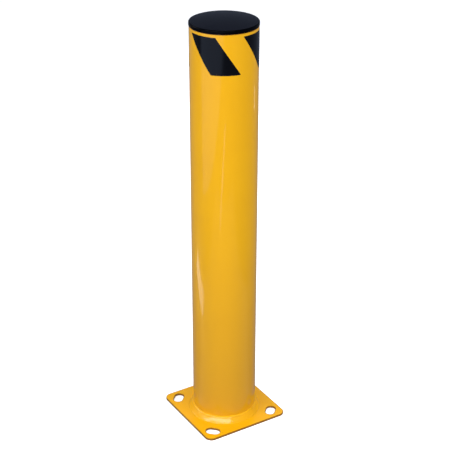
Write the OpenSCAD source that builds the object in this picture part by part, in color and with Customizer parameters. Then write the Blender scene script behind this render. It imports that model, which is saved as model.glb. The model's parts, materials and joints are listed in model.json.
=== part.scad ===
// Surface-mounted steel safety bollard: a round post welded to a slotted base plate,
// closed by a plug-in end cap, with four slanted warning stripes of black tape.
// Millimetres, +Z up. The origin is the centre of the plate's underside.

/* [Post] */
// Height from the floor to the crown of the cap
overall_h = 914.4; // [450:0.1:1500]
// Outside diameter of the post tube
post_d = 139.7; // [90:0.1:170]
// Wall thickness of the post tube
post_wall = 3.4; // [2:0.1:8]

/* [Base plate] */
// Side of the square base plate
plate_side = 203.2; // [190:0.1:320]
// Thickness of the base plate
plate_t = 4.76; // [3:0.01:20]
// Radius of the plate's four corners
plate_corner_r = 16; // [4:0.5:30]
// Distance of each anchor slot's centre from the plate's two nearest sides
slot_inset = 25.4; // [18:0.1:40]
// Width of an anchor slot, which the anchor bolt passes
slot_w = 20.65; // [8:0.05:24]
// Length of an anchor slot, end to end
slot_len = 31.75; // [20:0.05:36]

/* [Weld] */
// Leg of the fillet weld on the plate
weld_leg_plate = 9; // [4:0.1:14]
// Leg of the fillet weld on the post
weld_leg_post = 15.5; // [5:0.1:20]
// How far the upper bead stands proud of its flat
weld_crown = 0.9; // [0.2:0.1:2]
// How far the lower bead, the broad one on the plate, stands proud of its flat
weld_low_crown = 0.3; // [0.2:0.1:2]

/* [Cap] */
// How far the cap's rim overhangs the post all round
cap_overhang = 0.7; // [0.3:0.1:4]
// Height of the cap's rim above the end of the post
cap_rim_h = 8.6; // [6:0.1:20]
// Rise of the domed crown above the rim
cap_crown_h = 5.8; // [2:0.1:20]
// Rounding of the rim's lower edge
cap_edge_r = 1.2; // [0.4:0.1:1.8]
// Rounding of the rim's upper edge
cap_top_r = 2.5; // [0.5:0.1:3]
// Thickness of the crown and of the rim
cap_wall = 3; // [2:0.1:5]
// Depth of the skirt inside the post
skirt_h = 30; // [20:1:60]
// Wall thickness of the skirt
skirt_wall = 2.4; // [1.5:0.1:5]
// Gap between the skirt and the post's bore
skirt_gap = 1.8; // [1:0.1:4]
// Slope on the skirt's lower edge, which leads it into the post
skirt_lead = 1.2; // [0.4:0.1:1.4]
// Number of grip rings round the skirt
ring_count = 3; // [1:1:5]
// Height of a grip ring
ring_h = 3; // [1:0.1:4]
// Gap between a grip ring and the post's bore
ring_gap = 0.3; // [0.2:0.05:1]

/* [Stripes] */
// Height of a stripe
stripe_h = 76.2; // [30:0.1:150]
// Width of a stripe round the post
stripe_w = 61; // [20:0.5:90]
// How far a stripe's lower end is shifted round the post
stripe_shift = 51; // [0:0.5:80]
// Thickness of the tape
tape_t = 0.25; // [0.1:0.05:1]
// Bare post between the cap and a stripe
stripe_drop = 6.2; // [2:0.1:60]
// Way that the front stripe faces, in degrees round the post from +X
front_turn = -139.5; // [-180:0.1:180]
// Way that the right-hand stripe faces
right_turn = -43.1; // [-180:0.1:180]
// Way that the back stripe faces
back_turn = 35.5; // [-180:0.1:180]
// Way that the left-hand stripe faces
left_turn = 114; // [-180:0.1:180]

/* [Hidden] */
$fn = 96;

eps = 1;                      // overshoot of a cut past the face it opens
post_r = post_d / 2;
bore_r = post_r - post_wall;
post_top = overall_h - cap_crown_h - cap_rim_h;
rim_top = post_top + cap_rim_h;
skirt_foot = post_top - skirt_h;
cap_r = post_r + cap_overhang;
crown_foot_r = cap_r - cap_top_r;
skirt_r = bore_r - skirt_gap;
hollow_r = skirt_r - skirt_wall;
knee_share = [0.42, 0.7];      // where the two beads meet, as a share of each leg of the weld
weld_knee = [post_r + weld_leg_plate * knee_share[0], plate_t + weld_leg_post * knee_share[1]];
stripe_top = post_top - stripe_drop;
stripe_steps = 16;            // points down each slanted edge of a stripe

// Degrees round the post for a length along its surface
function arc_deg(len) = len / post_r * 180 / PI;

// Radius of the ball whose cap is `rise` high over a circle of radius `r`
function ball_r(r, rise) = (r * r + rise * rise) / (2 * rise);

// Flat plate with round corners, from z = 0 up
module rounded_plate(side, r, t) {
    for (a = [0, 90]) rotate(a) translate([-side / 2, -side / 2 + r, 0]) cube([side, side - 2 * r, t]);
    for (x = [-1, 1], y = [-1, 1])
        translate([x * (side / 2 - r), y * (side / 2 - r), 0]) cylinder(r = r, h = t);
}

// Straight slot with round ends, lying along X and standing along Z
module slot(len, w, h) {
    translate([-(len - w) / 2, -w / 2, 0]) cube([len - w, w, h]);
    for (x = [-1, 1]) translate([x * (len - w) / 2, 0, 0]) cylinder(d = w, h = h);
}

// Crown of a bead that runs from a up to b on the weld's profile and stands `crown` proud
module bead_crown(a, b, crown) {
    chord = norm(b - a);
    arch_r = ball_r(chord / 2, crown);
    out = [b[1] - a[1], a[0] - b[0]] / chord;
    intersection() {
        translate((a + b) / 2 - out * (arch_r - crown)) circle(r = arch_r);
        polygon([a, b, b + out * crown * 2, a + out * crown * 2]);
    }
}

// Slanted edge of a stripe, from its top down: it turns steadily round the post as it drops
function stripe_edge(side) = [
    for (i = [0 : stripe_steps])
        let (turn = arc_deg(side * stripe_w / 2 + stripe_shift * (i / stripe_steps - 0.5)))
        [post_r * sin(turn), stripe_top - stripe_h * i / stripe_steps]
];

// Outline of a stripe seen square on: down its leading edge and back up its trailing one
function stripe_outline() = let (back = stripe_edge(-1))
    concat(stripe_edge(1), [for (i = [stripe_steps : -1 : 0]) back[i]]);

// Base plate, with an anchor slot across each diagonal
module base_plate() color([0.95, 0.68, 0.10]) difference() {
    rounded_plate(plate_side, plate_corner_r, plate_t);
    slot_at = plate_side / 2 - slot_inset;
    for (x = [-1, 1], y = [-1, 1])
        translate([x * slot_at, y * slot_at, -eps])
            rotate(-45 * x * y) slot(slot_len, slot_w, plate_t + 2 * eps);
}

// Post tube, standing on the plate
module post_tube() color([0.93, 0.67, 0.12]) translate([0, 0, plate_t]) difference() {
    cylinder(r = post_r, h = post_top - plate_t);
    translate([0, 0, -eps]) cylinder(r = bore_r, h = post_top - plate_t + 2 * eps);
}

// Fillet weld of two beads round the foot of the post
module base_weld() color([0.96, 0.72, 0.20]) rotate_extrude() {
    foot = [post_r, plate_t];
    toe = [post_r + weld_leg_plate, plate_t];
    top = [post_r, plate_t + weld_leg_post];
    polygon([foot, toe, weld_knee, top]);
    bead_crown(toe, weld_knee, weld_low_crown);
    bead_crown(weld_knee, top, weld_crown);
}

// End cap: domed crown and rim over the post, hollow skirt with grip rings inside it
module end_cap() color([0.10, 0.11, 0.13]) {
    crown_ball = ball_r(crown_foot_r, cap_crown_h);
    difference() {
        union() {
            cap_head(crown_ball);
            cap_skirt();
            grip_rings();
        }
        cap_hollow(crown_ball);
    }
}

// Solid head of the cap: a rim with rounded edges under a low crown
module cap_head(ball) {
    rotate_extrude() {
        translate([0, post_top]) square([cap_r - cap_edge_r, cap_rim_h / 2]);
        translate([0, post_top + cap_edge_r]) square([cap_r, cap_rim_h - cap_edge_r - cap_top_r]);
        translate([0, post_top + cap_rim_h / 2]) square([cap_r - cap_top_r, cap_rim_h / 2]);
        translate([cap_r - cap_edge_r, post_top + cap_edge_r]) circle(r = cap_edge_r);
        translate([cap_r - cap_top_r, rim_top - cap_top_r]) circle(r = cap_top_r);
    }
    intersection() {
        translate([0, 0, overall_h - ball]) sphere(r = ball);
        translate([0, 0, post_top + cap_rim_h / 2]) cylinder(r = crown_foot_r, h = cap_rim_h + cap_crown_h);
    }
}

// Skirt, still solid, with a sloped lower edge
module cap_skirt() {
    translate([0, 0, skirt_foot]) cylinder(r1 = skirt_r - skirt_lead, r2 = skirt_r, h = skirt_lead);
    translate([0, 0, skirt_foot + skirt_lead]) cylinder(r = skirt_r, h = skirt_h - skirt_lead + eps);
}

// Space inside the cap, up to the underside of the crown
module cap_hollow(ball) intersection() {
    translate([0, 0, skirt_foot - eps]) cylinder(r = hollow_r, h = overall_h - skirt_foot);
    translate([0, 0, overall_h - ball]) sphere(r = ball - cap_wall);
}

// Grip rings, spaced evenly down the skirt: each slopes below and is flat on top, like a barb
module grip_rings() {
    pitch = skirt_h / (ring_count + 0.5);
    for (i = [1 : ring_count])
        translate([0, 0, post_top - i * pitch]) cylinder(r1 = skirt_r, r2 = bore_r - ring_gap, h = ring_h);
}

// Tape stripe that lies on the post, its middle facing `turn` degrees round from +X
module stripe(turn) color([0.06, 0.06, 0.09]) rotate(turn + 90) intersection() {
    translate([0, 0, stripe_top - stripe_h]) difference() {
        cylinder(r = post_r + tape_t, h = stripe_h);
        translate([0, 0, -eps]) cylinder(r = post_r, h = stripe_h + 2 * eps);
    }
    rotate([90, 0, 0]) linear_extrude(height = post_d) polygon(stripe_outline());
}

base_plate();
post_tube();
base_weld();
end_cap();
stripe(front_turn);  // stripe_front
stripe(right_turn);  // stripe_right
stripe(back_turn);  // stripe_back
stripe(left_turn);  // stripe_left
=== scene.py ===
"""A steel safety bollard: post, base plate, weld, end cap and tape stripes, with its stage."""
import json
import math

import bmesh
import bpy
from mathutils import Euler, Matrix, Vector, noise
from mathutils.kdtree import KDTree


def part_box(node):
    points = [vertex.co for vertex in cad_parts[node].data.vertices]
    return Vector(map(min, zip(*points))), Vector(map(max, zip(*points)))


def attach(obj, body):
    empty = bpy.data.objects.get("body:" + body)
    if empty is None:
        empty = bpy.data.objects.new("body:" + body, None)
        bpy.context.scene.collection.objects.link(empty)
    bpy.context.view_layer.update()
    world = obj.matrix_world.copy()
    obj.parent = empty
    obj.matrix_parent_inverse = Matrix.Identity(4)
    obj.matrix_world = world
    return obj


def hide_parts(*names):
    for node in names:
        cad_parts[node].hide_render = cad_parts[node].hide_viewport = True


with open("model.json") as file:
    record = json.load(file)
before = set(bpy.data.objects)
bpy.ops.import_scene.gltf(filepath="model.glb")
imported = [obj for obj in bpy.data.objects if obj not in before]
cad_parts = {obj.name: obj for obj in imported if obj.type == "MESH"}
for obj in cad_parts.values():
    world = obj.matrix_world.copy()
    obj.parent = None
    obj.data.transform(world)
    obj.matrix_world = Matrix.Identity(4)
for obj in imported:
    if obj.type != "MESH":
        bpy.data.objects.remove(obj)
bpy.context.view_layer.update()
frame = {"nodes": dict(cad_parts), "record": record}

bl_info = {
    "name": "Safety bollard",
    "version": (1, 0, 0),
    "blender": (4, 5, 0),
    "location": "View3D > Sidebar > Bollard",
    "description": "Models and finishes a surface-mounted steel safety bollard",
    "category": "Object",
}

FULL_TURN = 2 * math.pi
MM = 0.001

# Places read from the frame
PLATE_LOW, PLATE_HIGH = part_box("base_plate")
TUBE_LOW, TUBE_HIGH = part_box("post_tube")
WELD_LOW, WELD_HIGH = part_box("base_weld")
CAP_LOW, CAP_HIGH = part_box("end_cap")
SLOTS = next(m["dims"] for m in frame["record"]["mounts"] if m["name"] == "anchor_slots")

POST_R = TUBE_HIGH.x
PLATE_TOP = PLATE_HIGH.z
POST_TOP = TUBE_HIGH.z
CAP_R = CAP_HIGH.x
CAP_TOP = CAP_HIGH.z
SKIRT_FOOT = CAP_LOW.z

# Heights at which the painted shade on the post's coat begins and is deepest, in metres: the coat
# is painted darker towards the foot
FOOT_SHADE_TOP = 0.45
FOOT_SHADE_FULL = 0.02


# ---------------------------------------------------------------- sizes and colours

def length(name, description, default):
    """A length property in metres."""
    return bpy.props.FloatProperty(
        name=name, description=description, default=default, min=0.0, precision=5,
        unit="LENGTH", subtype="DISTANCE")


def tint(name, description, default):
    """A colour property."""
    return bpy.props.FloatVectorProperty(
        name=name, description=description, default=default, size=3, min=0.0, max=1.0,
        subtype="COLOR")


def amount(name, description, default):
    """A plain number from 0 to 1."""
    return bpy.props.FloatProperty(
        name=name, description=description, default=default, min=0.0, max=1.0)


def angle(name, description, degrees):
    """An angle property, its default given in degrees."""
    return bpy.props.FloatProperty(
        name=name, description=description, default=math.radians(degrees),
        subtype="ANGLE", unit="ROTATION")


class BollardSizes(bpy.types.PropertyGroup):
    """Sizes that the frame's boxes don't give"""
    post_wall: length("Post wall", "Wall thickness of the post tube", 3.4 * MM)
    seam: length("Bore seam", "Height of the tube's seam inside the bore", 0.5 * MM)
    plate_corner: length("Plate corner", "Radius of the plate's corners", 16 * MM)
    plate_edge: length("Plate edge", "Rounding of the plate's coated edges", 0.7 * MM)
    slot_inset: length("Slot inset", "Slot centre to the plate's nearest sides", 25.4 * MM)
    weld_crown: length("Upper bead crown", "How proud the upper weld bead stands", 0.9 * MM)
    weld_low_crown: length("Lower bead crown", "How proud the broad lower bead stands", 0.3 * MM)
    weld_feather: length("Weld feather", "Reach of the coat that feathers the weld's toe", 1.6 * MM)
    weld_pitch: length("Ripple pitch", "Spacing of the ripples along a bead", 3.4 * MM)
    weld_ripple: length("Ripple height", "Height of the ripples under the coat", 0.06 * MM)
    cap_rim: length("Rim height", "Height of the cap's rim above the post", 8.6 * MM)
    cap_edge: length("Rim's lower edge", "Rounding of the rim's lower edge", 1.2 * MM)
    cap_top: length("Rim's upper edge", "Rounding of the rim's upper edge", 2.5 * MM)
    cap_wall: length("Crown wall", "Thickness of the cap's crown", 3.0 * MM)
    skirt_wall: length("Skirt wall", "Thickness of the cap's skirt", 2.4 * MM)
    skirt_gap: length("Skirt gap", "Gap between the skirt and the bore", 1.8 * MM)
    skirt_lead: length("Skirt lead", "Slope on the skirt's lower edge", 1.2 * MM)
    ring_height: length("Ring height", "Height of a grip ring", 3.0 * MM)
    ring_gap: length("Ring gap", "Gap between a grip ring and the bore", 0.3 * MM)
    ring_count: bpy.props.IntProperty(
        name="Rings", description="Number of grip rings on the skirt", default=3, min=1, max=5)
    tape: length("Tape", "Thickness of the tape", 0.25 * MM)
    stripe_width: length("Stripe width", "Width of a stripe round the post", 61 * MM)
    stripe_shift: length("Stripe shift", "Shift of a stripe's lower end round the post", 51 * MM)


class BollardFinish(bpy.types.PropertyGroup):
    """Colours and gloss of the bollard"""
    coat: tint("Coat", "Safety yellow of the powder coat", (0.93, 0.462, 0.003))
    # Partly thin coat and partly painted shade: the dark tone laid along the plate's edges and the
    # weld's toes
    coat_thin_and_shade: tint("Thin coat", "Yellow where the coat is thin, on edges", (0.30, 0.11, 0.006))
    # Painted shade: the post's coat is painted darker and more orange towards its foot, standing in
    # for the shade there
    coat_foot_shade: tint("Coat at the foot", "Deeper tone of the post towards its foot",
                    (0.80, 0.36, 0.012))
    coat_rough: amount("Coat roughness", "Roughness under the gloss", 0.30)
    cap: tint("Cap", "Black plastic of the cap", (0.0008, 0.0009, 0.0014))
    # Painted sheen: the cap's crown is painted paler and bluer than its rim, standing in for the
    # light its top catches
    cap_crown_sheen: tint("Cap crown", "Grained top of the cap, paler than its rim",
                    (0.0086, 0.0098, 0.0155))
    scuff: tint("Scuff", "Plastic and tape where they are rubbed pale", (0.035, 0.037, 0.042))
    tape: tint("Tape", "Black of the tape", (0.0006, 0.0006, 0.0014))


class BollardStage(bpy.types.PropertyGroup):
    """Camera, floor and lights"""
    camera_distance: length("Camera distance", "From the post's axis, level", 2.2994)
    camera_height: length("Camera height", "Above the floor", 1.5976)
    camera_turn: angle("Camera turn", "Way the camera looks, from +Y", -31.619)
    camera_tilt: angle("Camera tilt", "How far the camera looks down", 26.299)
    camera_pan: angle("Camera pan", "How far the camera looks past the post", 0.046)
    lens: bpy.props.FloatProperty(
        name="Lens", description="Focal length in millimetres", default=96.703, min=20.0)
    floor: tint("Floor", "Pale floor", (0.95, 0.945, 0.93))
    floor_glow: amount("Floor glow", "Light of the floor's own, which lifts its shadows", 0.5)
    backdrop: tint("Backdrop", "Pale wall beyond the floor", (1.0, 1.0, 1.0))
    ambient: tint("Ambient", "Room light", (0.15, 0.18, 0.25))


# ---------------------------------------------------------------- modelling helpers

def deselect():
    """Leaves nothing selected, so that the next operator acts on its own piece only."""
    if bpy.context.object and bpy.context.object.mode != "OBJECT":
        bpy.ops.object.mode_set(mode="OBJECT")
    bpy.ops.object.select_all(action="DESELECT")


def pick(obj):
    """Selects one piece alone and makes it active."""
    deselect()
    bpy.context.view_layer.objects.active = obj
    obj.select_set(True)


def begin_edit(obj):
    """Edit mode on one piece, with nothing selected in it."""
    pick(obj)
    bpy.ops.object.mode_set(mode="EDIT")
    bpy.ops.mesh.select_all(action="DESELECT")
    return bmesh.from_edit_mesh(obj.data)


def end_edit():
    """Back to object mode."""
    bpy.ops.object.mode_set(mode="OBJECT")


def apply_modifier(obj, kind, **settings):
    """Adds a modifier, sets it and applies it."""
    pick(obj)
    modifier = obj.modifiers.new(kind.title(), kind)
    for key, value in settings.items():
        setattr(modifier, key, value)
    bpy.ops.object.modifier_apply(modifier=modifier.name)


def apply_place(obj):
    """Moves the object's place into its mesh."""
    pick(obj)
    bpy.ops.object.transform_apply(location=True, rotation=True, scale=True)


def smooth(obj, degrees=35):
    """Smooth shading, with edges sharper than `degrees` kept crisp."""
    pick(obj)
    bpy.ops.object.shade_smooth_by_angle(angle=math.radians(degrees))


def arc(centre, radius, start, stop, steps):
    """Points (radius, height) on an arc, angles in degrees from outwards towards up."""
    angles = [math.radians(start + (stop - start) * i / steps) for i in range(steps + 1)]
    return [(centre[0] + radius * math.cos(a), centre[1] + radius * math.sin(a)) for a in angles]


def crowned(a, b, crown, steps, peak=0.5):
    """Points from a to b along a curve that stands `crown` proud, most of all at `peak`."""
    run, rise = b[0] - a[0], b[1] - a[1]
    chord = math.hypot(run, rise)
    out = (rise / chord, -run / chord)
    points = []
    for i in range(steps + 1):
        t = i / steps
        proud = crown * (1 - ((t - peak) / (peak if t < peak else 1 - peak)) ** 2)
        points.append((a[0] + run * t + out[0] * proud, a[1] + rise * t + out[1] * proud))
    return points


def lathe(name, outline, steps):
    """Draws an outline of (radius, height) vertex by vertex and spins it round the Z axis."""
    deselect()
    here = Vector((outline[0][0], 0, outline[0][1]))
    bpy.ops.mesh.primitive_plane_add(size=MM, location=here)
    obj = bpy.context.object
    obj.name = name
    bpy.ops.object.mode_set(mode="EDIT")
    bpy.ops.mesh.select_mode(type="VERT")
    bpy.ops.mesh.select_all(action="SELECT")
    bpy.ops.mesh.merge(type="CENTER")
    for radius, height in outline[1:]:
        there = Vector((radius, 0, height))
        bpy.ops.mesh.extrude_region_move(TRANSFORM_OT_translate={"value": there - here})
        here = there
    bpy.ops.mesh.select_all(action="SELECT")
    bpy.ops.mesh.spin(steps=steps, angle=FULL_TURN, center=(0, 0, 0), axis=(0, 0, 1))
    bpy.ops.mesh.select_all(action="SELECT")
    bpy.ops.mesh.remove_doubles(threshold=0.002 * MM)
    bpy.ops.mesh.normals_make_consistent(inside=False)
    end_edit()
    apply_place(obj)
    return obj


def mark_edges(obj, sharp_degrees, reach):
    """Stores an `edge` attribute: 1 on the piece's exposed corners, falling to 0 at `reach`."""
    mesh = bmesh.new()
    mesh.from_mesh(obj.data)
    limit = math.radians(sharp_degrees)
    corners = {v.index for e in mesh.edges if e.calc_face_angle(0.0) > limit for v in e.verts}
    tree = KDTree(max(1, len(corners)))
    mesh.verts.ensure_lookup_table()
    for index in corners:
        tree.insert(mesh.verts[index].co, index)
    tree.balance()
    layer = obj.data.attributes.new("edge", "FLOAT", "POINT")
    for vertex in mesh.verts:
        gap = tree.find(vertex.co)[2] if corners else reach
        layer.data[vertex.index].value = max(0.0, 1.0 - gap / reach)
    mesh.free()


def finish_piece(obj, body, slot, material, *nodes):
    """Gives a finished piece its material, its body and the CAD nodes that it stands for."""
    obj.data.materials.clear()
    obj.data.materials.append(material)
    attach(obj, body)
    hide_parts(*nodes)


# ---------------------------------------------------------------- shader node groups

def group_start(name, inputs, outputs):
    """A new shader node group with its sockets, its input node and its output node."""
    group = bpy.data.node_groups.new(name, "ShaderNodeTree")
    for label, kind, default in inputs:
        socket = group.interface.new_socket(label, in_out="INPUT", socket_type=kind)
        socket.default_value = default
    for label, kind in outputs:
        group.interface.new_socket(label, in_out="OUTPUT", socket_type=kind)
    return group, group.nodes.new("NodeGroupInput"), group.nodes.new("NodeGroupOutput")


def add(tree, kind, links=None, **settings):
    """Adds a node, sets its properties and sockets, and links other sockets into it."""
    node = tree.nodes.new(kind)
    for key, value in settings.items():
        setattr(node, key, value)
    for label, source in (links or {}).items():
        socket = node.inputs[label]
        if isinstance(source, bpy.types.NodeSocket):
            tree.links.new(source, socket)
        else:
            socket.default_value = source
    return node


def math_node(tree, operation, first, second=0.0, clamp=False):
    """The value of a Math node."""
    return add(tree, "ShaderNodeMath", {0: first, 1: second}, operation=operation,
               use_clamp=clamp).outputs[0]


def ramp_between(tree, value, low, high):
    """0 below `low`, 1 above `high`, smooth between."""
    return add(tree, "ShaderNodeMapRange", {"Value": value, "From Min": low, "From Max": high},
               interpolation_type="SMOOTHSTEP").outputs[0]


def height_of(tree, place):
    """The height above the floor, from Object coordinates."""
    return add(tree, "ShaderNodeSeparateXYZ", {0: place}).outputs[2]


def grain_group():
    """Height of a fine, rounded grain: the orange peel of a coat or the grain of a mould."""
    group, start, end = group_start("Fine grain", [
        ("Vector", "NodeSocketVector", (0, 0, 0)),
        ("Grain size", "NodeSocketFloat", 0.002),
        ("Waviness", "NodeSocketFloat", 0.4),
    ], [("Height", "NodeSocketFloat")])
    per_metre = math_node(group, "DIVIDE", 1.0, start.outputs["Grain size"])
    fine = add(group, "ShaderNodeTexNoise", {
        "Vector": start.outputs["Vector"], "Scale": per_metre, "Detail": 2.0, "Roughness": 0.45})
    slow = math_node(group, "MULTIPLY", per_metre, 0.12)
    wave = add(group, "ShaderNodeTexNoise", {
        "Vector": start.outputs["Vector"], "Scale": slow, "Detail": 1.0})
    low = math_node(group, "MULTIPLY", wave.outputs[0], start.outputs["Waviness"])
    total = math_node(group, "ADD", fine.outputs[0], low)
    group.links.new(total, end.inputs["Height"])
    return group


def drift_group():
    """A colour that drifts slightly over the surface, from one batch tone to another."""
    group, start, end = group_start("Colour drift", [
        ("Vector", "NodeSocketVector", (0, 0, 0)),
        ("Colour", "NodeSocketColor", (0.5, 0.5, 0.5, 1)),
        ("Patch size", "NodeSocketFloat", 0.08),
        ("Drift", "NodeSocketFloat", 0.05),
    ], [("Colour", "NodeSocketColor"), ("Patch", "NodeSocketFloat")])
    per_metre = math_node(group, "DIVIDE", 1.0, start.outputs["Patch size"])
    patch = add(group, "ShaderNodeTexNoise", {
        "Vector": start.outputs["Vector"], "Scale": per_metre, "Detail": 3.0, "Roughness": 0.55})
    spread = math_node(group, "SUBTRACT", patch.outputs[0], 0.5)
    scaled = math_node(group, "MULTIPLY", spread, start.outputs["Drift"])
    value = math_node(group, "ADD", math_node(group, "MULTIPLY", scaled, 2.0), 1.0)
    hue = math_node(group, "ADD", math_node(group, "MULTIPLY", scaled, 0.12), 0.5)
    toned = add(group, "ShaderNodeHueSaturation", {
        "Hue": hue, "Value": value, "Color": start.outputs["Colour"]})
    group.links.new(toned.outputs[0], end.inputs["Colour"])
    group.links.new(patch.outputs[0], end.inputs["Patch"])
    return group


def scuff_group():
    """A mask of fine, broken handling marks that run along one way."""
    group, start, end = group_start("Handling marks", [
        ("Vector", "NodeSocketVector", (0, 0, 0)),
        ("Stretch", "NodeSocketVector", (60, 60, 900)),
        ("Amount", "NodeSocketFloat", 0.5),
    ], [("Mask", "NodeSocketFloat")])
    stretched = add(group, "ShaderNodeVectorMath", {
        0: start.outputs["Vector"], 1: start.outputs["Stretch"]}, operation="MULTIPLY")
    lines = add(group, "ShaderNodeTexNoise", {
        "Vector": stretched.outputs[0], "Scale": 1.0, "Detail": 4.0, "Roughness": 0.6})
    patches = add(group, "ShaderNodeTexNoise", {
        "Vector": start.outputs["Vector"], "Scale": 22.0, "Detail": 2.0})
    marks = ramp_between(group, lines.outputs[0], 0.60, 0.72)
    where = ramp_between(group, patches.outputs[0], 0.48, 0.66)
    broken = math_node(group, "MULTIPLY", marks, where)
    mask = math_node(group, "MULTIPLY", broken, start.outputs["Amount"], clamp=True)
    group.links.new(mask, end.inputs["Mask"])
    return group


def edge_wear_group():
    """A ragged mask along the piece's exposed edges, from its `edge` attribute."""
    group, start, end = group_start("Edge wear", [
        ("Vector", "NodeSocketVector", (0, 0, 0)),
        ("Amount", "NodeSocketFloat", 0.5),
    ], [("Mask", "NodeSocketFloat")])
    edge = add(group, "ShaderNodeAttribute", attribute_name="edge")
    ragged = add(group, "ShaderNodeTexNoise", {
        "Vector": start.outputs["Vector"], "Scale": 260.0, "Detail": 3.0, "Roughness": 0.6})
    uneven = math_node(group, "MULTIPLY", edge.outputs["Fac"],
                       math_node(group, "ADD", ragged.outputs[0], 0.45))
    worn = ramp_between(group, uneven, 0.25, 0.95)
    mask = math_node(group, "MULTIPLY", worn, start.outputs["Amount"], clamp=True)
    group.links.new(mask, end.inputs["Mask"])
    return group


def use_group(tree, maker, links):
    """Places a node group that is built once and shared."""
    made = use_group.made
    if maker.__name__ not in made:
        made[maker.__name__] = maker()
    return add(tree, "ShaderNodeGroup", links, node_tree=made[maker.__name__])


use_group.made = {}


# ---------------------------------------------------------------- materials

def new_material(name):
    """A material with its shader, its Object coordinates and its output linked."""
    material = bpy.data.materials.new(name)
    material.use_nodes = True
    tree = material.node_tree
    tree.nodes.clear()
    shader = tree.nodes.new("ShaderNodeBsdfPrincipled")
    output = tree.nodes.new("ShaderNodeOutputMaterial")
    tree.links.new(shader.outputs[0], output.inputs["Surface"])
    place = tree.nodes.new("ShaderNodeTexCoord").outputs["Object"]
    return material, tree, shader, place


def with_alpha(colour):
    """A colour property's three values and full alpha."""
    return (*colour, 1.0)


def blend_colour(tree, mask, under, over):
    """`over` laid on `under` where the mask is 1. Sockets 6, 7 and 2 are the Mix node's colours."""
    return add(tree, "ShaderNodeMix", {0: mask, 6: under, 7: over}, data_type="RGBA").outputs[2]


def roughness_from(tree, mask, plain, marked):
    """Roughness that goes from `plain` to `marked` with the mask."""
    return add(tree, "ShaderNodeMapRange", {
        "Value": mask, "To Min": plain, "To Max": marked}).outputs[0]


def bump_into(tree, shader, height, strength, distance):
    """Feeds a height to the shader's normal."""
    bump = add(tree, "ShaderNodeBump", {
        "Height": height, "Strength": strength, "Distance": distance})
    tree.links.new(bump.outputs[0], shader.inputs["Normal"])


def coat_material(finish, name, foot_shade):
    """Glossy yellow powder coat: orange peel, drifting tone, edges painted darker, partly as thin
    coat and partly as painted shade.

    The last argument is how much painted shade, the deeper tone at the foot, the coat takes on as
    it nears the floor.
    """
    material, tree, shader, place = new_material(name)
    toned = use_group(tree, drift_group, {
        "Vector": place, "Colour": with_alpha(finish.coat), "Patch size": 90 * MM,
        "Drift": 0.03}).outputs["Colour"]
    # Painted shade: the coat darkens towards the post's foot
    if foot_shade:
        low = add(tree, "ShaderNodeMapRange", {
            "Value": height_of(tree, place), "From Min": FOOT_SHADE_TOP,
            "From Max": FOOT_SHADE_FULL, "To Max": foot_shade}).outputs[0]
        toned = blend_colour(tree, low, toned, with_alpha(finish.coat_foot_shade))
    edge = use_group(tree, edge_wear_group, {"Vector": place, "Amount": 0.9})
    marks = use_group(tree, scuff_group, {
        "Vector": place, "Stretch": (180.0, 180.0, 9.0), "Amount": 0.35})
    # Edges painted darker: partly thin coat, partly painted shade along the plate's sides and in
    # the weld's joins
    thin = blend_colour(tree, edge.outputs["Mask"], toned, with_alpha(finish.coat_thin_and_shade))
    tree.links.new(thin, shader.inputs["Base Color"])
    rough = roughness_from(tree, marks.outputs["Mask"],
                           plain=finish.coat_rough, marked=finish.coat_rough + 0.12)
    tree.links.new(rough, shader.inputs["Roughness"])
    peel = use_group(tree, grain_group, {
        "Vector": place, "Grain size": 3.2 * MM, "Waviness": 0.9})
    bump_into(tree, shader, peel.outputs["Height"], strength=0.14, distance=0.16 * MM)
    shader.inputs["Specular IOR Level"].default_value = 0.15
    shader.inputs["Coat Weight"].default_value = 0.60
    shader.inputs["Coat Roughness"].default_value = 0.05
    return material


def yellow_coat(finish):
    """Coat of the plate and the weld."""
    return coat_material(finish, "Yellow powder coat", foot_shade=0.0)


def post_coat_with_foot_shade(finish):
    """Coat of the post, with painted shade that darkens it towards its foot."""
    return coat_material(finish, "Yellow powder coat on the post with painted foot shade", foot_shade=0.62)


def cap_plastic(finish, rim_top):
    """Black moulded plastic: grained satin crown, painted paler and bluer than the smooth dark
    sides as painted sheen, rubbed a little on edges.
    """
    material, tree, shader, place = new_material("Black cap plastic")
    # Painted sheen: the crown, above the rim, takes a paler colour than the sides
    crown = ramp_between(tree, height_of(tree, place), rim_top - 0.5 * MM, rim_top)
    plastic = blend_colour(tree, crown, with_alpha(finish.cap), with_alpha(finish.cap_crown_sheen))
    tone = use_group(tree, drift_group, {
        "Vector": place, "Colour": plastic, "Patch size": 50 * MM, "Drift": 0.12})
    edge = use_group(tree, edge_wear_group, {"Vector": place, "Amount": 0.15})
    marks = use_group(tree, scuff_group, {
        "Vector": place, "Stretch": (420.0, 36.0, 60.0), "Amount": 0.4})
    on_crown = math_node(tree, "MULTIPLY", marks.outputs["Mask"], crown)
    worn = math_node(tree, "MAXIMUM", edge.outputs["Mask"], on_crown)
    colour = blend_colour(tree, worn, tone.outputs["Colour"], with_alpha(finish.scuff))
    tree.links.new(colour, shader.inputs["Base Color"])
    rough = math_node(tree, "ADD", roughness_from(tree, crown, plain=0.17, marked=0.30),
                      math_node(tree, "MULTIPLY", worn, 0.2))
    tree.links.new(rough, shader.inputs["Roughness"])
    grain = use_group(tree, grain_group, {
        "Vector": place, "Grain size": 0.7 * MM, "Waviness": 0.5})
    bump_into(tree, shader, grain.outputs["Height"], strength=0.30, distance=0.08 * MM)
    shader.inputs["Specular IOR Level"].default_value = 0.05
    return material


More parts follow.
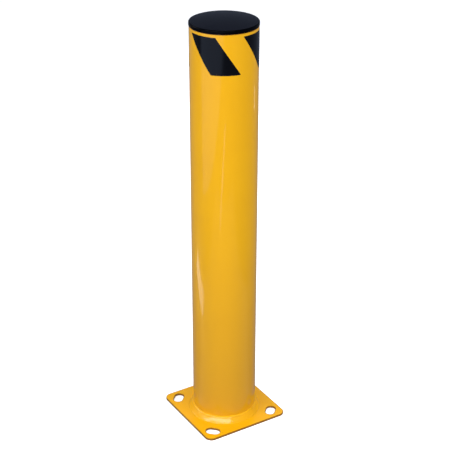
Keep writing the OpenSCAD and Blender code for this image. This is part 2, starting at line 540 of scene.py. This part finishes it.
def tape_vinyl(finish):
    """Black vinyl tape: glossy, a trace of the coat's peel showing through, dusty edges."""
    material, tree, shader, place = new_material("Black tape vinyl")
    tone = use_group(tree, drift_group, {
        "Vector": place, "Colour": with_alpha(finish.tape), "Patch size": 30 * MM, "Drift": 0.15})
    edge = use_group(tree, edge_wear_group, {"Vector": place, "Amount": 0.18})
    marks = use_group(tree, scuff_group, {
        "Vector": place, "Stretch": (90.0, 90.0, 500.0), "Amount": 0.4})
    colour = blend_colour(tree, edge.outputs["Mask"], tone.outputs["Colour"],
                          with_alpha(finish.scuff))
    tree.links.new(colour, shader.inputs["Base Color"])
    rough = roughness_from(tree, marks.outputs["Mask"], plain=0.16, marked=0.34)
    tree.links.new(rough, shader.inputs["Roughness"])
    peel = use_group(tree, grain_group, {
        "Vector": place, "Grain size": 4.5 * MM, "Waviness": 1.0})
    bump_into(tree, shader, peel.outputs["Height"], strength=0.20, distance=0.15 * MM)
    shader.inputs["Specular IOR Level"].default_value = 0.26
    return material


def floor_paint(stage):
    """Pale, even floor."""
    material, tree, shader, place = new_material("Pale floor")
    tone = use_group(tree, drift_group, {
        "Vector": place, "Colour": with_alpha(stage.floor), "Patch size": 0.6, "Drift": 0.01})
    tree.links.new(tone.outputs["Colour"], shader.inputs["Base Color"])
    shader.inputs["Roughness"].default_value = 0.85
    shader.inputs["Specular IOR Level"].default_value = 0.2
    shader.inputs["Emission Color"].default_value = with_alpha(stage.floor)
    shader.inputs["Emission Strength"].default_value = stage.floor_glow
    return material


def shared_material(maker, *settings):
    """A material that several pieces share, made on first use."""
    made = shared_material.made
    if maker.__name__ not in made:
        made[maker.__name__] = maker(*settings)
    return made[maker.__name__]


shared_material.made = {}


# ---------------------------------------------------------------- pieces

class BOLLARD_OT_base_plate(bpy.types.Operator):
    """Base plate: a square with round corners, four slots and soft coated edges"""
    bl_idname = "bollard.base_plate"
    bl_label = "Base plate"

    corner_steps = 20
    slot_facets = 64

    def execute(self, context):
        sizes, finish = context.scene.bollard_sizes, context.scene.bollard_finish
        plate = self.blank(sizes)
        for turn in range(4):
            self.cut_slot(plate, sizes, turn)
        self.hold_flats(plate, sizes)
        apply_modifier(plate, "BEVEL", width=sizes.plate_edge, segments=3, limit_method="ANGLE",
                       angle_limit=math.radians(40), harden_normals=False)
        # The edge tone on the plate is partly thin coat and partly painted shade along its sides
        mark_edges(plate, sharp_degrees=14, reach=1.6 * MM)
        smooth(plate)
        finish_piece(plate, "post", "yellow_coat", shared_material(yellow_coat, finish),
                     "base_plate")
        return {"FINISHED"}

    def blank(self, sizes):
        """Flat square, its corners rounded, extruded to the plate's thickness."""
        deselect()
        side = PLATE_HIGH.x - PLATE_LOW.x
        bpy.ops.mesh.primitive_plane_add(size=side, location=(0, 0, PLATE_LOW.z))
        plate = bpy.context.object
        plate.name = "plate"
        begin_edit(plate)
        bpy.ops.mesh.select_all(action="SELECT")
        bpy.ops.mesh.bevel(offset=sizes.plate_corner, segments=self.corner_steps, profile=0.5,
                           affect="VERTICES")
        bpy.ops.mesh.select_all(action="SELECT")
        rise = PLATE_TOP - PLATE_LOW.z
        bpy.ops.mesh.extrude_region_move(TRANSFORM_OT_translate={"value": (0, 0, rise)})
        bpy.ops.mesh.select_all(action="SELECT")
        bpy.ops.mesh.normals_make_consistent(inside=False)
        end_edit()
        apply_place(plate)
        return plate

    def cut_slot(self, plate, sizes, turn):
        """Punches one anchor slot across a diagonal of the plate."""
        deselect()
        wide, long = 2 * SLOTS["hole_r_mm"] * MM, SLOTS["slot_length_mm"] * MM
        bpy.ops.mesh.primitive_cylinder_add(
            vertices=self.slot_facets, radius=wide / 2, depth=PLATE_TOP * 3,
            location=(0, 0, PLATE_TOP / 2))
        punch = bpy.context.object
        mesh = begin_edit(punch)
        bpy.ops.mesh.select_mode(type="VERT")
        for vertex in mesh.verts:
            vertex.select = vertex.co.x > 0.01 * MM
        mesh.select_flush_mode()
        bmesh.update_edit_mesh(punch.data)
        bpy.ops.transform.translate(value=(long - wide, 0, 0))
        bpy.ops.mesh.select_all(action="SELECT")
        bpy.ops.transform.translate(value=(-(long - wide) / 2, 0, 0))
        end_edit()
        reach = (PLATE_HIGH.x - sizes.slot_inset) * math.sqrt(2)
        punch.location = (0, reach, punch.location.z)
        apply_place(punch)
        punch.rotation_euler.z = math.pi / 4 + turn * math.pi / 2
        apply_place(punch)
        apply_modifier(plate, "BOOLEAN", object=punch, operation="DIFFERENCE", solver="EXACT")
        bpy.data.objects.remove(punch)

    def hold_flats(self, plate, sizes):
        """Insets both flats a little, which keeps the shading of their middles flat."""
        mesh = begin_edit(plate)
        bpy.ops.mesh.select_mode(type="FACE")
        for face in mesh.faces:
            face.select = abs(face.normal.z) > 0.9
        bmesh.update_edit_mesh(plate.data)
        bpy.ops.mesh.inset(thickness=sizes.plate_edge * 3, use_boundary=True)
        end_edit()


class BOLLARD_OT_post_tube(bpy.types.Operator):
    """Post tube: outer wall, bore and deburred ends"""
    bl_idname = "bollard.post_tube"
    bl_label = "Post tube"

    deburr = 0.5 * MM
    end_ring = 1.2 * MM         # from the deburred edge to the ring that holds its shading
    seam_turn = 74              # way that the bore's seam faces, in degrees from +X
    seam_half_width = 0.9 * MM

    def execute(self, context):
        sizes, finish = context.scene.bollard_sizes, context.scene.bollard_finish
        tube = lathe("post", self.outline(sizes), steps=256)
        self.raise_seam(tube, sizes)
        mark_edges(tube, sharp_degrees=14, reach=self.end_ring)
        smooth(tube)
        finish_piece(tube, "post", "yellow_coat", shared_material(post_coat_with_foot_shade, finish), "post_tube")
        return {"FINISHED"}

    def raise_seam(self, tube, sizes):
        """Raises the line that the tube mill's weld leaves down the bore."""
        bore_r = POST_R - sizes.post_wall
        turn = math.radians(self.seam_turn)
        seam = Vector((math.cos(turn), math.sin(turn)))
        for vertex in tube.data.vertices:
            flat = vertex.co.xy
            on_seam = flat.dot(seam) > 0 and abs(flat.cross(seam)) < self.seam_half_width
            if on_seam and flat.length < bore_r + 0.1 * MM:
                vertex.co.xy = flat * (1 - sizes.seam / flat.length)

    def outline(self, sizes):
        """Section of the wall, up the outside and down the bore, with a ring near each end."""
        low, high, edge, ring = TUBE_LOW.z, POST_TOP, self.deburr, self.end_ring
        bore_r = POST_R - sizes.post_wall
        points = arc((POST_R - edge, low + edge), edge, -90, 0, 3)
        points += [(POST_R, low + edge + ring), (POST_R, high - edge - ring)]
        points += arc((POST_R - edge, high - edge), edge, 0, 90, 3)
        points += arc((bore_r + edge, high - edge), edge, 90, 180, 3)
        points += [(bore_r, high - edge - ring), (bore_r, low + edge + ring)]
        points += arc((bore_r + edge, low + edge), edge, 180, 270, 3)
        return points + points[:1]


class BOLLARD_OT_base_weld(bpy.types.Operator):
    """Fillet weld: two rippled beads laid round the foot of the post"""
    bl_idname = "bollard.base_weld"
    bl_label = "Base weld"

    sink = 0.3 * MM             # how far the hidden faces go into the plate and the post
    knee_share = (0.42, 0.70)   # where the two beads meet, as a share of each leg
    low_peak = 0.3              # where the lower bead is proudest, from its toe
    feather_steps = 6
    ripple_bow = 1.6            # how far a ripple bows back at a bead's sides, in pitches
    bead_phase = 1.3            # keeps the two beads' ripples out of step
    ripple_share = (0.35, 0.65)  # ripple height at a bead's sides, and what its middle adds
    wander = 0.45 * MM          # how far a bead's face strays from its line
    lump_reach = 5 * MM
    # Where a bead was stopped and started again: turn in degrees, which bead, lump height
    restarts = ((-108.0, 0, 0.7 * MM), (-62.0, 1, 0.6 * MM), (20.0, 0, 0.8 * MM),
                (131.0, 1, 0.6 * MM), (-171.0, 0, 0.5 * MM))

    def execute(self, context):
        sizes, finish = context.scene.bollard_sizes, context.scene.bollard_finish
        foot_z = WELD_LOW.z
        toe = (WELD_HIGH.x, foot_z)
        top = (POST_R, WELD_HIGH.z)
        knee = (POST_R + (toe[0] - POST_R) * self.knee_share[0],
                foot_z + (top[1] - foot_z) * self.knee_share[1])
        outline = [(POST_R - self.sink, foot_z - self.sink),
                   (toe[0] + sizes.weld_feather, foot_z - self.sink)]
        lower = crowned(toe, knee, sizes.weld_low_crown, steps=16, peak=self.low_peak)
        outline += self.feathered(lower, sizes)
        outline += crowned(knee, top, sizes.weld_crown, steps=8)[1:]
        outline += [(POST_R - self.sink, top[1]), outline[0]]
        weld = lathe("weld", outline, steps=900)
        self.lay_ripples(weld, sizes, (toe, knee, top))
        # The weld's toes against the post and the plate take the edge tone: partly thin coat,
        # partly painted shade in the joins
        mark_edges(weld, sharp_degrees=60, reach=0.4 * MM)
        smooth(weld, degrees=50)
        finish_piece(weld, "post", "yellow_coat", shared_material(yellow_coat, finish),
                     "base_weld")
        return {"FINISHED"}

    def feathered(self, bead, sizes):
        """The lower bead with its sharp toe run out onto the plate in a hollow curve."""
        toe = bead[0]
        reach = sizes.weld_feather
        kept = [p for p in bead if math.dist(p, toe) > reach]
        start, end = (toe[0] + reach, toe[1] + 0.01 * MM), kept[0]
        curve = []
        for i in range(self.feather_steps):
            t = i / self.feather_steps
            curve.append(tuple((1 - t) ** 2 * start[k] + 2 * t * (1 - t) * toe[k] + t ** 2 * end[k]
                               for k in (0, 1)))
        return curve + kept

    def lay_ripples(self, weld, sizes, corners):
        """Pushes the beads' faces out and in: ripples, wander and restarts."""
        toe, knee, top = corners
        beads = ((toe, knee), (knee, top))
        for vertex in weld.data.vertices:
            radius = math.hypot(vertex.co.x, vertex.co.y)
            turn = math.atan2(vertex.co.y, vertex.co.x)
            if radius < POST_R - self.sink / 2 or vertex.co.z < WELD_LOW.z - self.sink / 2:
                continue
            bead = 0 if vertex.co.z < knee[1] else 1
            (ax, az), (bx, bz) = beads[bead]
            chord = math.hypot(bx - ax, bz - az)
            across = ((radius - ax) * (bx - ax) + (vertex.co.z - az) * (bz - az)) / chord ** 2
            push = self.push_at(sizes, turn, bead, min(1.0, max(0.0, across)))
            out = Vector(((bz - az) / chord, -(bx - ax) / chord))
            radius += out.x * push
            vertex.co.x = radius * math.cos(turn)
            vertex.co.y = radius * math.sin(turn)
            vertex.co.z += out.y * push

    def push_at(self, sizes, turn, bead, across):
        """How far the face stands out at one place: `across` goes from 0 to 1 up a bead."""
        hump = 4 * across * (1 - across)
        along = turn * WELD_HIGH.x
        bow = (across - 0.5) ** 2 * sizes.weld_pitch * self.ripple_bow
        phase = (along + bow) / sizes.weld_pitch * FULL_TURN + bead * self.bead_phase
        uneven = 0.6 + 0.8 * self.noise_round(turn, 9, bead)
        share = self.ripple_share[0] + self.ripple_share[1] * hump
        ripple = sizes.weld_ripple * math.cos(phase) * share * uneven
        wander = self.wander * self.noise_round(turn, 4, 5 + bead)
        lump = sum(height * hump
                   * math.exp(-(self.apart(turn, at) * WELD_HIGH.x / self.lump_reach) ** 2)
                   for at, which, height in self.restarts if which == bead)
        return ripple + wander * hump + lump

    @staticmethod
    def noise_round(turn, spread, layer):
        """Noise that closes on itself round the post: a wider `spread` changes faster."""
        return noise.noise(Vector((math.cos(turn) * spread, math.sin(turn) * spread, layer)))

    @staticmethod
    def apart(turn, degrees):
        """Angle between two directions round the post."""
        gap = turn - math.radians(degrees)
        return abs((gap + math.pi) % FULL_TURN - math.pi)


class BOLLARD_OT_end_cap(bpy.types.Operator):
    """End cap: low crown, rounded rim, and a hollow skirt with grip rings"""
    bl_idname = "bollard.end_cap"
    bl_label = "End cap"

    def execute(self, context):
        sizes, finish = context.scene.bollard_sizes, context.scene.bollard_finish
        cap = lathe("cap", self.outline(sizes), steps=192)
        apply_modifier(cap, "BEVEL", width=0.25 * MM, segments=2, limit_method="ANGLE",
                       angle_limit=math.radians(38))
        mark_edges(cap, sharp_degrees=30, reach=0.7 * MM)
        smooth(cap, degrees=20)
        plastic = shared_material(cap_plastic, finish, POST_TOP + sizes.cap_rim)
        finish_piece(cap, "cap", "black_plastic", plastic, "end_cap")
        return {"FINISHED"}

    def outline(self, sizes):
        """Half section from the top of the crown, round the outside, to its underside."""
        low_edge, top_edge = sizes.cap_edge, sizes.cap_top
        rim_top = POST_TOP + sizes.cap_rim
        foot_r = CAP_R - top_edge
        rise = CAP_TOP - rim_top
        ball = (foot_r ** 2 + rise ** 2) / (2 * rise)
        slope = math.degrees(math.asin(foot_r / ball))
        bore_r = POST_R - sizes.post_wall
        skirt_r = bore_r - sizes.skirt_gap
        hollow_r = skirt_r - sizes.skirt_wall
        inner = ball - sizes.cap_wall
        inner_slope = math.degrees(math.asin(hollow_r / inner))
        centre = (0.0, CAP_TOP - ball)
        points = arc(centre, ball, 90, 90 - slope, 24)
        points += arc((foot_r, rim_top - top_edge), top_edge, 90, 0, 10)
        points += arc((CAP_R - low_edge, POST_TOP + low_edge), low_edge, 0, -90, 6)
        points.append((skirt_r, POST_TOP))
        points += self.grip_rings(sizes, bore_r, skirt_r)
        points += [(skirt_r, SKIRT_FOOT + sizes.skirt_lead),
                   (skirt_r - sizes.skirt_lead, SKIRT_FOOT), (hollow_r, SKIRT_FOOT)]
        points += arc(centre, inner, 90 - inner_slope, 90, 16)
        return points

    def grip_rings(self, sizes, bore_r, skirt_r):
        """Barbs down the skirt: each flat on top, sloping in below."""
        pitch = (POST_TOP - SKIRT_FOOT) / (sizes.ring_count + 0.5)
        ring_r = bore_r - sizes.ring_gap
        points = []
        for index in range(1, sizes.ring_count + 1):
            low = POST_TOP - index * pitch
            high = low + sizes.ring_height
            points += [(skirt_r, high), (ring_r, high), (skirt_r, low)]
        return points


class BOLLARD_OT_stripes(bpy.types.Operator):
    """Four slanted pieces of tape, wrapped onto the post"""
    bl_idname = "bollard.stripes"
    bl_label = "Stripes"

    names = ("stripe_front", "stripe_right", "stripe_back", "stripe_left")
    columns = 36
    rows = 24

    def execute(self, context):
        sizes, finish = context.scene.bollard_sizes, context.scene.bollard_finish
        for name in self.names:
            self.wrap(name, sizes, finish)
        return {"FINISHED"}

    def wrap(self, name, sizes, finish):
        """Wraps a flat grid round the post over its node, and gives it the tape's thickness."""
        low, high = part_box(name)
        deselect()
        bpy.ops.mesh.primitive_grid_add(x_subdivisions=self.columns, y_subdivisions=self.rows,
                                        size=1.0)
        tape = bpy.context.object
        tape.name = name.replace("stripe", "tape")
        facing = self.facing(name)
        for vertex in tape.data.vertices:
            side, drop = vertex.co.x, 0.5 - vertex.co.y
            round_post = side * sizes.stripe_width + sizes.stripe_shift * (drop - 0.5)
            turn = facing + round_post / POST_R
            vertex.co = (POST_R * math.cos(turn), POST_R * math.sin(turn),
                         high.z - (high.z - low.z) * drop)
        begin_edit(tape)
        bpy.ops.mesh.select_all(action="SELECT")
        bpy.ops.mesh.normals_make_consistent(inside=False)
        end_edit()
        self.face_outwards(tape)
        apply_modifier(tape, "SOLIDIFY", thickness=sizes.tape, offset=1, use_even_offset=True)
        apply_modifier(tape, "BEVEL", width=sizes.tape * 0.35, segments=2, limit_method="ANGLE",
                       angle_limit=math.radians(50))
        mark_edges(tape, sharp_degrees=30, reach=1.5 * MM)
        smooth(tape)
        finish_piece(tape, "post", "black_tape", shared_material(tape_vinyl, finish), name)

    @staticmethod
    def facing(name):
        """Way that a stripe's middle faces, from the middle of its node's points."""
        points = [v.co for v in frame["nodes"][name].data.vertices]
        middle = sum((p.xy.normalized() for p in points), Vector((0, 0)))
        return math.atan2(middle.y, middle.x)

    @staticmethod
    def face_outwards(tape):
        """Turns an open sheet's faces away from the post's axis."""
        mesh = begin_edit(tape)
        inward = sum(f.normal.xy.dot(f.calc_center_median().xy) for f in mesh.faces) < 0
        if inward:
            bpy.ops.mesh.select_all(action="SELECT")
            bpy.ops.mesh.flip_normals()
        end_edit()


# ---------------------------------------------------------------- stage

class BOLLARD_OT_stage(bpy.types.Operator):
    """Camera, pale floor and soft studio light"""
    bl_idname = "bollard.stage"
    bl_label = "Stage"

    aim = 0.5                   # height that the boxes look at
    floor_side = 30.0
    floor_drop = 0.2 * MM       # keeps the floor clear of the plate's underside
    card_lift = 3 * MM          # height of the cards that lie on the floor
    sky_spread = 90             # width of the broad light, in degrees
    sky_energy = 1.5
    white = (1.0, 1.0, 1.0)
    cool = (0.60, 0.72, 1.0)

    def execute(self, context):
        stage = context.scene.bollard_stage
        self.place_camera(context, stage)
        self.lay_floor(stage)
        self.hang_lights(stage)
        self.light_room(context, stage)
        context.scene.view_settings.view_transform = "Standard"
        return {"FINISHED"}

    @staticmethod
    def around(stage, turn, distance, height):
        """A place round the post, `turn` degrees to the right of where the camera stands."""
        way = stage.camera_turn + math.radians(turn)
        return Vector((math.sin(way) * distance, -math.cos(way) * distance, height))

    def place_camera(self, context, stage):
        """Camera on its stand, looking down at the post."""
        data = bpy.data.cameras.new("Camera")
        data.lens = stage.lens
        camera = bpy.data.objects.new("Camera", data)
        context.scene.collection.objects.link(camera)
        camera.location = self.around(stage, 0, stage.camera_distance, stage.camera_height)
        camera.rotation_euler = (math.pi / 2 - stage.camera_tilt, 0,
                                 stage.camera_turn - stage.camera_pan)
        context.scene.camera = camera

    def lay_floor(self, stage):
        """Broad floor just under the plate, which doesn't show in the gloss or tint the coat."""
        deselect()
        bpy.ops.mesh.primitive_plane_add(size=self.floor_side, location=(0, 0, -self.floor_drop))
        floor = bpy.context.object
        floor.name = "floor"
        floor.data.materials.append(floor_paint(stage))
        floor.visible_glossy = False
        floor.visible_diffuse = False

    def hang_lights(self, stage):
        """One broad soft light above, with boxes and cards round the post.

        The keys and the fill light the surfaces, and the rest show only in their gloss. Turns and
        rolls are in degrees, lengths in metres, and a light of radiance 1 would itself look white.
        """
        self.add_sky_light(stage)
        # Boxes: name, turn, distance, height, width and height of the box, radiance, what it does
        boxes = (
            ("Left key", -50, 1.70, 1.00, 1.10, 1.00, 5.0, "diffuse"),
            ("Right key", 48, 1.70, 1.00, 1.10, 1.00, 5.0, "diffuse"),
            ("Back fill", 165, 2.40, 1.20, 1.60, 1.00, 4.0, "diffuse"),
            ("Front box", -17, 4.00, 1.66, 8.40, 1.10, 6.5, "glossy"),
            ("Side box", -100, 4.00, 1.66, 2.60, 1.10, 5.0, "glossy"),
        )
        for name, turn, distance, height, wide, tall, radiance, shows in boxes:
            light = self.add_box(name, wide, tall, radiance, self.white, shows)
            self.stand(light, stage, turn, self.around(stage, turn, distance, height), self.aim)
        # Upright cards: name, turn, distance, shift to the right, height, width and height of
        # the card, roll, radiance, colour
        cards = (
            ("Left card", -60, 1.00, 0.785, 0.72, 2.23, 1.00, 6.1, 0.85, self.cool),
            ("Strip card", -5, 1.00, 0, 0.183, 0.034, 0.46, -43, 2.8, self.cool),
            ("Right card", 118, 1.00, 0, 0.401, 0.10, 0.07, 0, 1.8, self.white),
        )
        for name, turn, distance, shift, height, wide, tall, roll, radiance, colour in cards:
            light = self.add_box(name, wide, tall, radiance, colour, "glossy")
            place = self.around(stage, turn, distance, height)
            self.stand(light, stage, turn, place, height, roll, shift)
        # Cards on the floor: name, turn, distance, width, length, turn of its length, radiance
        floor_cards = (
            ("Floor card", -93.4, 0.667, 0.15, 0.445, 31.4, 2.6),
            ("Near floor", 0, 0.62, 1.30, 1.20, 0, 0.25),
        )
        for name, turn, distance, wide, long, way, radiance in floor_cards:
            light = self.add_box(name, wide, long, radiance, self.white, "glossy")
            light.location = self.around(stage, turn, distance, self.card_lift)
            light.rotation_euler = (math.pi, 0, stage.camera_turn + math.radians(way))

    def stand(self, light, stage, turn, place, aim, roll=0.0, shift=0.0):
        """Stands a light at a place, facing the post's axis at the height `aim`, then shifts it."""
        light.location = place
        look = (Vector((0, 0, aim)) - light.location).to_track_quat("-Z", "Y")
        rolled = look @ Euler((0, 0, math.radians(roll))).to_quaternion()
        light.rotation_euler = rolled.to_euler()
        light.location += self.around(stage, turn + 90, shift, 0)

    @staticmethod
    def add_box(name, wide, tall, radiance, colour, shows):
        """A rectangular light that the camera itself never sees."""
        data = bpy.data.lights.new(name, "AREA")
        data.shape = "RECTANGLE"
        data.size, data.size_y = wide, tall
        data.energy = radiance * math.pi * wide * tall
        data.color = colour
        light = bpy.data.objects.new(name, data)
        bpy.context.scene.collection.objects.link(light)
        light.visible_camera = False
        light.visible_diffuse = shows == "diffuse"
        light.visible_glossy = shows == "glossy"
        return light

    def add_sky_light(self, stage):
        """Broad, soft light from high on the left: a sun lamp with a very wide disc."""
        data = bpy.data.lights.new("Sky light", "SUN")
        data.angle = math.radians(self.sky_spread)
        data.energy = self.sky_energy
        light = bpy.data.objects.new("Sky light", data)
        bpy.context.scene.collection.objects.link(light)
        look = -self.around(stage, -25, 1.0, 2.3)
        light.rotation_euler = look.to_track_quat("-Z", "Y").to_euler()
        light.visible_glossy = False

    def light_room(self, context, stage):
        """Even, faint room light, and a pale wall beyond the floor that only the camera sees."""
        world = bpy.data.worlds.new("Room")
        world.use_nodes = True
        tree = world.node_tree
        seen = tree.nodes.new("ShaderNodeLightPath").outputs["Is Camera Ray"]
        colour = blend_colour(tree, seen, with_alpha(stage.ambient), with_alpha(stage.backdrop))
        tree.links.new(colour, tree.nodes["Background"].inputs["Color"])
        context.scene.world = world


# ---------------------------------------------------------------- panel and run

PIECES = (BOLLARD_OT_base_plate, BOLLARD_OT_post_tube, BOLLARD_OT_base_weld, BOLLARD_OT_end_cap,
          BOLLARD_OT_stripes, BOLLARD_OT_stage)


class BOLLARD_PT_panel(bpy.types.Panel):
    """Lists the bollard's pieces"""
    bl_idname = "BOLLARD_PT_panel"
    bl_label = "Safety bollard"
    bl_space_type = "VIEW_3D"
    bl_region_type = "UI"
    bl_category = "Bollard"

    def draw(self, context):
        for piece in PIECES:
            self.layout.operator(piece.bl_idname)
        for settings in ("bollard_sizes", "bollard_finish", "bollard_stage"):
            group = getattr(context.scene, settings)
            box = self.layout.box()
            for key in group.__annotations__:
                box.prop(group, key)


GROUPS = {"bollard_sizes": BollardSizes, "bollard_finish": BollardFinish,
          "bollard_stage": BollardStage}
CLASSES = (*GROUPS.values(), *PIECES, BOLLARD_PT_panel)


def register():
    """Registers the classes and hangs the settings on the scene."""
    for cls in CLASSES:
        bpy.utils.register_class(cls)
    for name, group in GROUPS.items():
        setattr(bpy.types.Scene, name, bpy.props.PointerProperty(type=group))


def unregister():
    """Takes the settings and the classes away again."""
    for name in GROUPS:
        delattr(bpy.types.Scene, name)
    for cls in reversed(CLASSES):
        bpy.utils.unregister_class(cls)


def main():
    register()
    bpy.ops.bollard.base_plate()
    bpy.ops.bollard.post_tube()
    bpy.ops.bollard.base_weld()
    bpy.ops.bollard.end_cap()
    bpy.ops.bollard.stripes()
    bpy.ops.bollard.stage()
    deselect()


if __name__ == "__main__":
    main()
